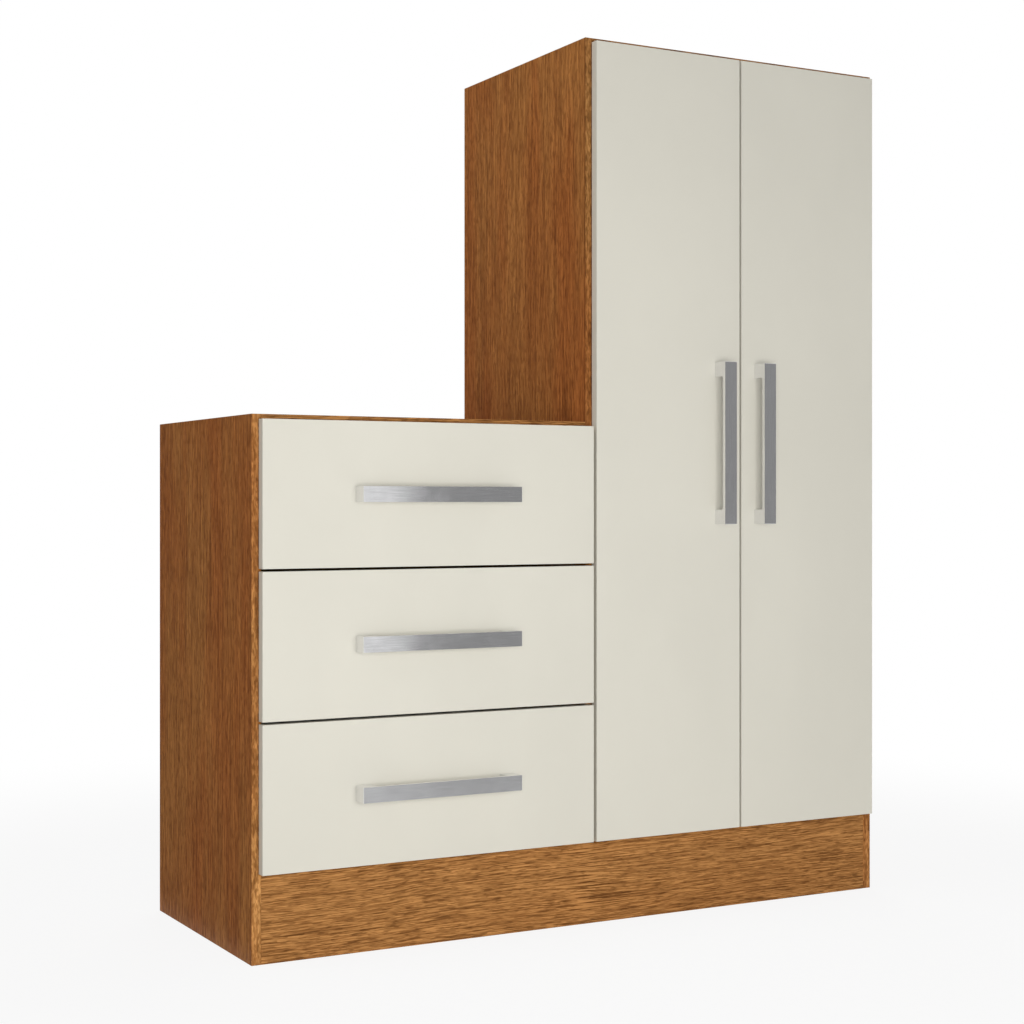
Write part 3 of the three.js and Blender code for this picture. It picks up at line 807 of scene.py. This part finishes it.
@dataclass(frozen=True)
class ScrewHead:
    """The head of a cross-recessed screw, from its seat outwards. The shares are parts of its size."""

    radius: float
    rise: float
    dome: float
    crown_radius_share: float = 0.72
    crown_dome_share: float = 0.8
    recess_reach_share: float = 0.58
    recess_width_share: float = 0.17
    recess_depth_share: float = 0.7
    floor_reach_share: float = 0.6
    floor_width_share: float = 0.7
    turn_step: float = 0.9
    sides: int = 20

    def cross(self, reach: float, half: float) -> list[Size]:
        """Gives the outline of the recess.

        Args:
            reach: How far each arm reaches from the middle.
            half: Half the width of an arm.

        Returns:
            Its twelve corners in order.
        """
        arm = [(half, -half), (reach, -half), (reach, half)]
        points = []
        for quarter in range(4):
            turn = math.pi / 2 * quarter
            c, s = math.cos(turn), math.sin(turn)
            points += [(x * c - y * s, x * s + y * c) for x, y in arm]
        return points

    def add(self, mesh: Mesh, place: Vector, out: Vector, turn: float = 0.0) -> None:
        """Adds one head to a mesh.

        Args:
            mesh: The mesh to add to.
            place: The middle of its seat.
            out: The way that it points.
            turn: How far the recess is turned.
        """
        at = standing(place, out) @ Matrix.Rotation(turn, 4, "Z")
        top = self.rise + self.dome
        reach = self.recess_reach_share * self.radius
        half = self.recess_width_share * self.radius
        rim = circle(self.radius, self.sides)
        crown_points = circle(self.crown_radius_share * self.radius, self.sides)
        lip_points = self.cross(reach, half)
        floor_points = self.cross(self.floor_reach_share * reach, self.floor_width_share * half)

        def ring(points: Sequence[Size], height: float) -> list[bmesh.types.BMVert]:
            """Adds a ring of corners at one height."""
            return [mesh.verts.new(at @ Vector((x, y, height))) for x, y in points]

        seat = ring(rim, 0.0)
        shoulder = ring(rim, self.rise)
        crown = ring(crown_points, self.rise + self.crown_dome_share * self.dome)
        lip = ring(lip_points, top)
        floor = ring(floor_points, top - self.recess_depth_share * top)
        for low, high in ((seat, shoulder), (shoulder, crown), (lip, floor)):
            for index, corner in enumerate(low):
                after = (index + 1) % len(low)
                mesh.faces.new((corner, low[after], high[after], high[index]))
        loops = [[Vector((x, y, 0)) for x, y in points] for points in (crown_points, lip_points)]
        corners = crown + lip
        for triangle in tessellate_polygon(loops):
            mesh.faces.new([corners[index] for index in triangle])
        mesh.faces.new(floor)
        mesh.faces.new(list(reversed(seat)))


COUNTERSUNK = ScrewHead(radius=0.0030, rise=0.00025, dome=0.00035)
PAN_HEAD = ScrewHead(radius=0.0026, rise=0.0006, dome=0.0006)
HANDLE_BOLT = ScrewHead(radius=0.0042, rise=0.0010, dome=0.0008)


def screws(name: str, body: str, head: ScrewHead, places: Sequence[tuple[Vector, Vector]]) -> None:
    """Makes a group of alike screw heads.

    Args:
        name: The piece's name.
        body: The body that they ride on.
        head: What the heads are like.
        places: The seat and the way out of each.
    """
    mesh = bmesh.new()
    for index, (place, out) in enumerate(places):
        head.add(mesh, place, out, turn=head.turn_step * index)
    placed(mesh, name, ZINC, body)


def middle(node: str) -> Vector:
    """Gives the middle of a CAD node's box."""
    low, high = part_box(node)
    return (low + high) / 2


def face_x(node: str, way: int) -> float:
    """Gives where a CAD node's box ends on the right for a way of 1, or on the left for -1."""
    low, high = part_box(node)
    return high.x if way > 0 else low.x


@dataclass(frozen=True)
class CamCover:
    """A round plastic cover over a cam."""

    radius: float
    height: float
    rim_share: float = 0.5
    crown_share: float = 0.93

    def add(self, mesh: Mesh, place: Vector, out: Vector) -> None:
        """Adds one cover to a mesh.

        Args:
            mesh: The mesh to add to.
            place: The middle of its seat.
            out: The way that it points.
        """
        profile = [(0, 0), (self.radius, 0), (self.radius, self.rim_share * self.height),
                   (self.crown_share * self.radius, self.height), (0, self.height)]
        turned(mesh, profile, standing(place, out))


@dataclass(frozen=True)
class SheetNails:
    """The nails that hold a back sheet to the boards in front of it, each head in a pressed dimple."""

    sheet: str
    boards: tuple[str, ...]
    head_radius: float = 0.0019
    head_crown_share: float = 0.75
    head_drop: float = 0.00015
    head_rim: float = 0.0003
    dimple_radius: float = 0.0025
    dimple_depth: float = 0.0008
    spacing: float = 0.105
    end_distance: float = 0.025
    sides: int = 16

    def row(self, board: str) -> tuple[int, Vector, Vector]:
        """Works out the nails into one board, along the longer way of the stretch that the sheet covers.

        Args:
            board: The board's node.

        Returns:
            How many nails there are, the first one's place and the step to the next.
        """
        sheet_low, sheet_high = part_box(self.sheet)
        board_low, board_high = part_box(board)
        low = Vector([max(pair) for pair in zip(sheet_low, board_low)])
        high = Vector([min(pair) for pair in zip(sheet_high, board_high)])
        axis = 2 if high.z - low.z > high.x - low.x else 0
        length = high[axis] - low[axis] - 2 * self.end_distance
        gaps = max(1, round(length / self.spacing))
        start = (low + high) / 2
        start[axis] = low[axis] + self.end_distance
        start.y = sheet_high.y
        step = Vector((0, 0, 0))
        step[axis] = length / gaps
        return gaps + 1, start, step

    def cut_dimples(self) -> None:
        """Presses the dimples into the sheet."""
        work = GeometryWork(f"{self.sheet}_dimples")
        joined = work.node("GeometryNodeJoinGeometry")
        for board in self.boards:
            row = zip(("Count", "Start Location", "Offset"), self.row(board))
            work.feed(joined.inputs[0], work.node("GeometryNodeMeshLine", dict(row)).outputs[0])
        sizes = {"Vertices": self.sides, "Radius": self.dimple_radius, "Depth": 2 * self.dimple_depth}
        punch = work.node("GeometryNodeMeshCylinder", sizes).outputs[0]
        punches = {"Points": joined.outputs[0], "Instance": punch, "Rotation": (math.pi / 2, 0.0, 0.0)}
        spread = work.node("GeometryNodeInstanceOnPoints", punches).outputs[0]
        solid = work.node("GeometryNodeRealizeInstances", {0: spread}).outputs[0]
        meshes = {"Mesh 1": work.start, "Mesh 2": solid}
        press = work.node("GeometryNodeMeshBoolean", meshes, operation="DIFFERENCE")
        smooth = work.node("GeometryNodeGroup", node_tree=EDGES.tree)
        work.feed(smooth.inputs[0], press.outputs[0])
        work.feed(work.end, smooth.outputs[0])
        work.add_to(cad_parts[self.sheet], "dimples")

    def add_heads(self, mesh: Mesh) -> None:
        """Adds the heads to a mesh.

        Args:
            mesh: The mesh to add to.
        """
        profile = [(0, -self.dimple_depth), (self.head_radius, -self.dimple_depth),
                   (self.head_radius, -self.head_drop - self.head_rim),
                   (self.head_crown_share * self.head_radius, -self.head_drop), (0, -self.head_drop)]
        for board in self.boards:
            count, start, step = self.row(board)
            for index in range(count):
                turned(mesh, profile, standing(start + index * step, BACKWARD), self.sides)


@dataclass(frozen=True)
class Carcass:
    """The fixed boards with their cam covers, shelf pegs, back nails and the hanging rail."""

    board_edge: float = 0.00035
    rod_edge: float = 0.0002
    socket_edge: float = 0.0003
    cover: CamCover = CamCover(0.0085, 0.0008)
    cover_end_distance: float = 0.034
    cover_side_distance: float = 0.037
    peg_radius: float = 0.0025
    peg_reach: float = 0.0085
    peg_depth: float = 0.037
    peg_collar_share: float = 1.7
    peg_collar_width: float = 0.0012
    peg_tip_radius_share: float = 0.8
    peg_tip_reach_share: float = 0.92
    rod_screw_radius: float = 0.0174
    rod_flange: float = 0.003
    nails: tuple[SheetNails, ...] = (
        SheetNails("chest_back", ("left_side_panel", "centre_panel", "chest_top", "chest_bottom")),
        SheetNails("wardrobe_back", ("centre_panel", "right_side_panel", "wardrobe_top", "wardrobe_bottom")))

    def dress(self) -> None:
        """Gives the boards their foil, upright or sideways as they were cut."""
        for node in ("left_side_panel", "right_side_panel"):
            dress(node, UPRIGHT_OAK, self.board_edge)
        dress("centre_panel", CENTRE_OAK_SHADED_BAND, self.board_edge)
        for node in ("chest_top", "chest_bottom", "wardrobe_top", "wardrobe_bottom", "wardrobe_shelf"):
            dress(node, SIDEWAYS_OAK, self.board_edge)
        dress("front_plinth", PLINTH_OAK, self.board_edge)
        for nails in self.nails:
            dress(nails.sheet, BACK_SHEET)
        dress("hanging_rod", NICKEL_TUBE, self.rod_edge)
        for side in INWARD:
            dress(f"rod_socket_{side}", NICKEL, self.socket_edge)

    def cam_covers(self) -> None:
        """Makes the round covers over the cams under the four outer levels."""
        mesh = bmesh.new()
        for node in ("chest_top", "chest_bottom", "wardrobe_top", "wardrobe_bottom"):
            low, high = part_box(node)
            for x in (low.x + self.cover_end_distance, high.x - self.cover_end_distance):
                for y in (low.y + self.cover_side_distance, high.y - self.cover_side_distance):
                    self.cover.add(mesh, Vector((x, y, low.z)), Vector((0, 0, -1)))
        placed(mesh, "cam_covers", CAP_PLASTIC, "carcass")

    def shelf_pegs(self) -> None:
        """Makes the four pegs that carry the shelf."""
        mesh = bmesh.new()
        low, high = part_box("wardrobe_shelf")
        collar = self.peg_collar_share * self.peg_radius
        tip = self.peg_tip_radius_share * self.peg_radius
        profile = [(0, 0), (collar, 0), (collar, self.peg_collar_width),
                   (self.peg_radius, self.peg_collar_width),
                   (self.peg_radius, self.peg_tip_reach_share * self.peg_reach),
                   (tip, self.peg_reach), (0, self.peg_reach)]
        for x, inward in ((low.x, 1), (high.x, -1)):
            for y in (low.y + self.peg_depth, high.y - self.peg_depth):
                turned(mesh, profile, standing(Vector((x, y, low.z - collar)), Vector((inward, 0, 0))))
        placed(mesh, "shelf_pegs", NICKEL, "carcass")

    def back_nails(self) -> None:
        """Makes the nails that hold the back sheets."""
        mesh = bmesh.new()
        for nails in self.nails:
            nails.cut_dimples()
            nails.add_heads(mesh)
        placed(mesh, "back_nails", ZINC, "carcass")

    def rail_screws(self) -> None:
        """Makes the three screws in each rod socket's flange."""
        places = []
        for side, inward in INWARD.items():
            place = middle(f"rod_socket_{side}")
            place.x = face_x(f"rod_socket_{side}", -inward) + inward * self.rod_flange
            for third in range(3):
                turn = math.pi / 2 + 2 * math.pi * third / 3
                aside = self.rod_screw_radius * Vector((0, math.cos(turn), math.sin(turn)))
                places.append((place + aside, Vector((inward, 0, 0))))
        screws("rod_socket_screws", "carcass", PAN_HEAD, places)

    def build(self) -> None:
        """Builds and dresses the carcass."""
        self.dress()
        self.cam_covers()
        self.shelf_pegs()
        self.back_nails()
        self.rail_screws()
        LOG.info("carcass: boards, cam covers, shelf pegs, back nails and hanging rail")


@dataclass(frozen=True)
class Front:
    """What a drawer and a door have in common: a cream panel with a bar handle and its two bolts."""

    place: str
    panel_edge: float = 0.0005
    handle_edge: float = 0.0005
    hole_share: float = 0.455

    def dress_front(self, body: str, panel: str, metal: BrushedMetal) -> None:
        """Gives the panel and the handle their finishes.

        Args:
            body: The body that they ride on.
            panel: The panel's node.
            metal: The handle's finish.
        """
        dress(panel, CREAM, self.panel_edge)
        dress(f"{body}_handle", metal, self.handle_edge)

    def handle_bolts(self, body: str, panel: str, along: Grain) -> None:
        """Makes the two bolts that hold the handle, seen on the back of the panel.

        Args:
            body: The body that they ride on.
            panel: The panel's node.
            along: The axis that the handle runs along.
        """
        low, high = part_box(f"{body}_handle")
        centre = (low + high) / 2
        centre.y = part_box(panel)[1].y
        reach = Vector((0, 0, 0))
        reach[along.value] = self.hole_share * (high - low)[along.value]
        places = [(centre + way * reach, BACKWARD) for way in (-1, 1)]
        screws(f"{body}_handle_bolts", body, HANDLE_BOLT, places)


@dataclass(frozen=True)
class Drawer(Front):
    """One drawer with its runners, handle bolts, cam covers and screws."""

    board_edge: float = 0.0003
    cover: CamCover = CamCover(0.006, 0.0006)
    cover_depth: float = 0.024
    cover_height_shares: Size = (0.35, 0.78)
    screw_height_shares: Size = (0.45, 0.85)

    @property
    def body(self) -> str:
        """The body that the drawer's pieces ride on."""
        return f"{self.place}_drawer"

    def dress(self) -> None:
        """Gives the boards, the handle and the runners their finishes."""
        self.dress_front(self.body, f"{self.body}_front", SIDEWAYS_CHROME)
        for board in ("left_side", "right_side", "back"):
            dress(f"{self.body}_{board}", WHITE, self.board_edge)
        dress(f"{self.body}_bottom", WHITE)
        for side in INWARD:
            dress(f"{self.body}_{side}_slide", ENAMEL)
            dress(f"{self.place}_{side}_runner", ENAMEL)

    def cam_covers(self) -> None:
        """Makes the covers of the cams that draw the sides to the front."""
        mesh = bmesh.new()
        for side, inward in INWARD.items():
            low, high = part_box(f"{self.body}_{side}_side")
            inner = face_x(f"{self.body}_{side}_side", inward)
            for share in self.cover_height_shares:
                spot = Vector((inner, low.y + self.cover_depth, low.z + share * (high.z - low.z)))
                self.cover.add(mesh, spot, Vector((inward, 0, 0)))
        placed(mesh, f"{self.body}_cam_covers", WHITE_CAP_PLASTIC, self.body)

    def side_screws(self) -> None:
        """Makes the screws through the sides into the back."""
        places = []
        for side, inward in INWARD.items():
            low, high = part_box(f"{self.body}_{side}_side")
            outer = face_x(f"{self.body}_{side}_side", -inward)
            for share in self.screw_height_shares:
                spot = Vector((outer, middle(f"{self.body}_back").y, low.z + share * (high.z - low.z)))
                places.append((spot, Vector((-inward, 0, 0))))
        screws(f"{self.body}_side_screws", self.body, COUNTERSUNK, places)

    def build(self) -> None:
        """Builds and dresses the drawer."""
        self.dress()
        self.handle_bolts(self.body, f"{self.body}_front", Grain.SIDEWAYS)
        self.cam_covers()
        self.side_screws()
        LOG.info("%s: boards, handle, bolts, cam covers, screws and runners", self.body)


@dataclass(frozen=True)
class Door(Front):
    """One door with its handle, its two concealed hinges and its buffers."""

    buffer_radius: float = 0.004
    buffer_height: float = 0.0016
    buffer_inset: float = 0.020
    buffer_lift: float = 0.006
    buffer_shares: tuple[Size, ...] = ((0, 0), (1, 0), (0.98, 0.4), (0.8, 0.8), (0.45, 1), (0, 1))
    cup_screw_inset: float = 0.0255
    cup_screw_reach: float = 0.024
    plate_thickness: float = 0.002
    plate_screw_inset: float = 0.019
    plate_screw_reach: float = 0.016
    screw_sink: float = 0.0003

    @property
    def body(self) -> str:
        """The body that the door's pieces ride on."""
        return f"{self.place}_door"

    @property
    def inward(self) -> int:
        """The way from the hinges to the free side."""
        return INWARD[self.place]

    def dress(self) -> None:
        """Gives the panel, the handle and the hinges their finishes."""
        self.dress_front(self.body, f"{self.body}_panel", UPRIGHT_CHROME)
        for height in ("upper", "lower"):
            for part in ("cup", "link", "arm"):
                dress(f"{self.body}_{height}_hinge_{part}", NICKEL)

    def buffers(self) -> None:
        """Makes the soft buffers at the free corners of the door."""
        mesh = bmesh.new()
        panel = f"{self.body}_panel"
        low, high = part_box(panel)
        profile = [(self.buffer_radius * x, self.buffer_height * y) for x, y in self.buffer_shares]
        free_x = face_x(panel, self.inward) - self.inward * self.buffer_inset
        for z in (low.z + self.buffer_lift, high.z - self.buffer_radius):
            turned(mesh, profile, standing(Vector((free_x, high.y, z)), BACKWARD))
        placed(mesh, f"{self.body}_buffers", CLEAR_RUBBER, self.body)

    def hinge_screws(self) -> None:
        """Makes the screws of the two hinges: two in each cup's lobes and two in each plate's wings."""
        cup_places, plate_places = [], []
        cup_x = face_x(f"{self.body}_panel", -self.inward) + self.inward * self.cup_screw_inset
        for height in ("upper", "lower"):
            hinge = f"{self.body}_{height}_hinge"
            seat = self.plate_thickness - self.screw_sink
            plate_x = face_x(f"{hinge}_arm", -self.inward) + self.inward * seat
            cup_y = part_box(f"{hinge}_cup")[1].y - self.screw_sink
            plate_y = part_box(f"{hinge}_arm")[1].y - self.plate_screw_inset
            for way in (-1, 1):
                cup_z = middle(f"{hinge}_cup").z + way * self.cup_screw_reach
                plate_z = middle(f"{hinge}_arm").z + way * self.plate_screw_reach
                cup_places.append((Vector((cup_x, cup_y, cup_z)), BACKWARD))
                plate_places.append((Vector((plate_x, plate_y, plate_z)), Vector((self.inward, 0, 0))))
        screws(f"{self.body}_cup_screws", self.body, COUNTERSUNK, cup_places)
        screws(f"{self.body}_plate_screws", "carcass", COUNTERSUNK, plate_places)

    def build(self) -> None:
        """Builds and dresses the door."""
        self.dress()
        self.handle_bolts(self.body, f"{self.body}_panel", Grain.UPRIGHT)
        self.buffers()
        self.hinge_screws()
        LOG.info("%s: panel, handle, bolts, buffers and hinges", self.body)


@dataclass(frozen=True)
class Card:
    """A card of the studio, upright or flat on the floor, which only glossy surfaces reflect."""

    name: str
    level: float
    start: Point
    end: Point

    def corners(self) -> list[Point]:
        """Works out the card's corners from two opposite ones.

        Returns:
            Its four corners in order.
        """
        (x0, y0, z0), (x1, y1, z1) = self.start, self.end
        if z0 == z1:
            return [(x0, y0, z0), (x1, y0, z0), (x1, y1, z0), (x0, y1, z0)]
        return [(x0, y0, z0), (x1, y1, z0), (x1, y1, z1), (x0, y0, z1)]


@dataclass(frozen=True)
class Lamp:
    """A soft lamp of the studio, with its width and height in metres and its power in watts."""

    name: str
    place: Point
    target: Point
    size: Size
    power: float

    def hang(self) -> None:
        """Hangs the lamp and points it at its target."""
        data = bpy.data.lights.new(self.name, "AREA")
        data.shape = "RECTANGLE"
        data.size, data.size_y = self.size
        data.energy = self.power
        lamp = bpy.data.objects.new(self.name, data)
        lamp.location = self.place
        out = Vector(self.place) - Vector(self.target)
        lamp.rotation_euler = out.to_track_quat("Z", "Y").to_euler()
        lamp.visible_glossy = False
        bpy.context.scene.collection.objects.link(lamp)


@dataclass(frozen=True)
class Studio:
    """The pale floor, the soft light and the camera."""

    focal_pixels: float = 1854.5
    image_pixels: float = 1024.0
    horizon_pixel: float = 503.84
    sensor: float = 36.0
    camera_place: Point = (-1.2169, -2.1567, 0.5304)
    camera_yaw: float = math.radians(28.831)
    camera_reach: float = 100.0
    ambient: float = 0.40
    floor_reach: float = 30.0
    floor_drop: float = 0.0002
    floor_tones: tuple[Colour, Colour] = ((0.78, 0.78, 0.78), (0.80, 0.80, 0.80))
    floor_specks_in_metre: float = 60.0
    floor_roughness: float = 0.9
    floor_white_share: float = 0.88
    fade_span: Size = (0.75, 1.7)
    lamps: tuple[Lamp, ...] = (
        Lamp("key_light", (-0.55, -2.0, 0.45), (-0.1, 0.0, 0.45), (1.6, 0.8), 23.6),
        Lamp("fill_light", (-1.2, 0.0, 1.9), (0.0, 0.0, 0.9), (0.9, 0.7), 4.0),
        Lamp("back_light", (1.1, 2.3, 1.1), (0.1, 0.2, 0.55), (1.6, 1.2), 22.0))
    cards: tuple[Card, ...] = (
        Card("light_card", 0.86, (-0.60, -2.4, 0.0), (0.63, -2.4, 3.5)),
        Card("grey_card", 0.275, (0.63, -2.4, 0.0), (6.0, -2.4, 3.5)),
        Card("light_floor_card", 0.475, (-0.60, -2.4, 0.001), (0.31, -0.8, 0.001)),
        Card("grey_floor_card", 0.37, (0.31, -2.4, 0.001), (6.0, -0.8, 0.001)),
        Card("dark_card", 0.06, (-2.2, -0.3, 0.0), (-0.9, 4.5, 3.5)),
        Card("dark_floor_card", 0.10, (-2.2, -0.2, 0.001), (-0.47, 4.5, 0.001)))

    def camera(self) -> None:
        """Stands the camera level at the picture's angle."""
        data = bpy.data.cameras.new("camera")
        data.sensor_width = self.sensor
        data.lens = self.focal_pixels / self.image_pixels * self.sensor
        data.shift_y = (self.horizon_pixel - self.image_pixels / 2) / self.image_pixels
        data.clip_end = self.camera_reach
        camera = bpy.data.objects.new("camera", data)
        camera.location = self.camera_place
        camera.rotation_euler = (math.pi / 2, 0.0, -self.camera_yaw)
        bpy.context.scene.collection.objects.link(camera)
        bpy.context.scene.camera = camera

    def world(self) -> None:
        """Makes a white background that lights the object at a plain level."""
        world = bpy.data.worlds.new("studio")
        world.use_nodes = True
        work = NodeWork(world.node_tree)
        background = work.tree.nodes["Background"]
        work.feed(background.inputs["Color"], (1.0, 1.0, 1.0))
        levels = {"Value": work.background_rays(), "To Min": self.ambient, "To Max": 1.0}
        work.feed(background.inputs["Strength"], work.node("ShaderNodeMapRange", levels).outputs["Result"])
        bpy.context.scene.world = world

    def floor_material(self) -> bpy.types.Material:
        """Makes the floor's paint, which keeps the object's pale shadow and turns white away from it.

        Returns:
            The material.
        """
        graph = Graph("studio_floor")
        specks = graph.noise(graph.place, scale=self.floor_specks_in_metre)
        colour = graph.blend(graph.span(specks, *MOST_OF_IT), *self.floor_tones)
        graph.finished(colour, self.floor_roughness, Specular_IOR_Level=0.0)
        white = graph.node("ShaderNodeEmission", {"Strength": 1.0}).outputs[0]
        away = graph.node("ShaderNodeVectorMath", {0: graph.place}, operation="LENGTH").outputs["Value"]
        far = graph.span(away, *self.fade_span, self.floor_white_share, 1.0)
        shown = graph.maths("MULTIPLY", far, graph.background_rays())
        mixed = graph.node("ShaderNodeMixShader", {0: shown, 1: graph.surface.outputs["BSDF"], 2: white})
        graph.feed(graph.output, mixed.outputs[0])
        return graph.material

    def sheet(self, name: str, corners: Sequence[Point], material: bpy.types.Material) -> bpy.types.Object:
        """Makes a flat sheet of the studio.

        Args:
            name: Its name.
            corners: Its corners in order.
            material: Its material.

        Returns:
            The sheet.
        """
        data = bpy.data.meshes.new(name)
        data.from_pydata([Vector(corner) for corner in corners], [], [tuple(range(len(corners)))])
        data.materials.append(material)
        sheet = bpy.data.objects.new(name, data)
        bpy.context.scene.collection.objects.link(sheet)
        return sheet

    def floor(self) -> None:
        """Lays the floor just under the object."""
        reach, drop = self.floor_reach, -self.floor_drop
        ends = ((-reach, -reach), (reach, -reach), (reach, reach), (-reach, reach))
        self.sheet("floor", [(x, y, drop) for x, y in ends], self.floor_material())

    def stand(self, card: Card) -> None:
        """Sets up a card.

        Args:
            card: What it is like.
        """
        paint = Paint(card.name)
        glow = paint.node("ShaderNodeEmission", {"Strength": card.level})
        paint.feed(paint.output, glow.outputs[0])
        sheet = self.sheet(card.name, card.corners(), paint.material)
        sheet.visible_camera = False
        sheet.visible_diffuse = False
        sheet.visible_shadow = False

    def build(self) -> None:
        """Builds the studio."""
        bpy.context.scene.view_settings.view_transform = "Standard"
        self.camera()
        self.world()
        self.floor()
        for card in self.cards:
            self.stand(card)
        for lamp in self.lamps:
            lamp.hang()
        LOG.info("studio: camera, floor, background, cards and soft lights")


def main() -> None:
    """Builds the parts of the chifforobe and the studio round it."""
    logging.basicConfig(level=logging.INFO, format="%(name)s: %(message)s")
    Studio().build()
    Carcass().build()
    for place in DRAWER_NAMES:
        Drawer(place).build()
    for side in INWARD:
        Door(side).build()


if __name__ == "__main__":
    main()
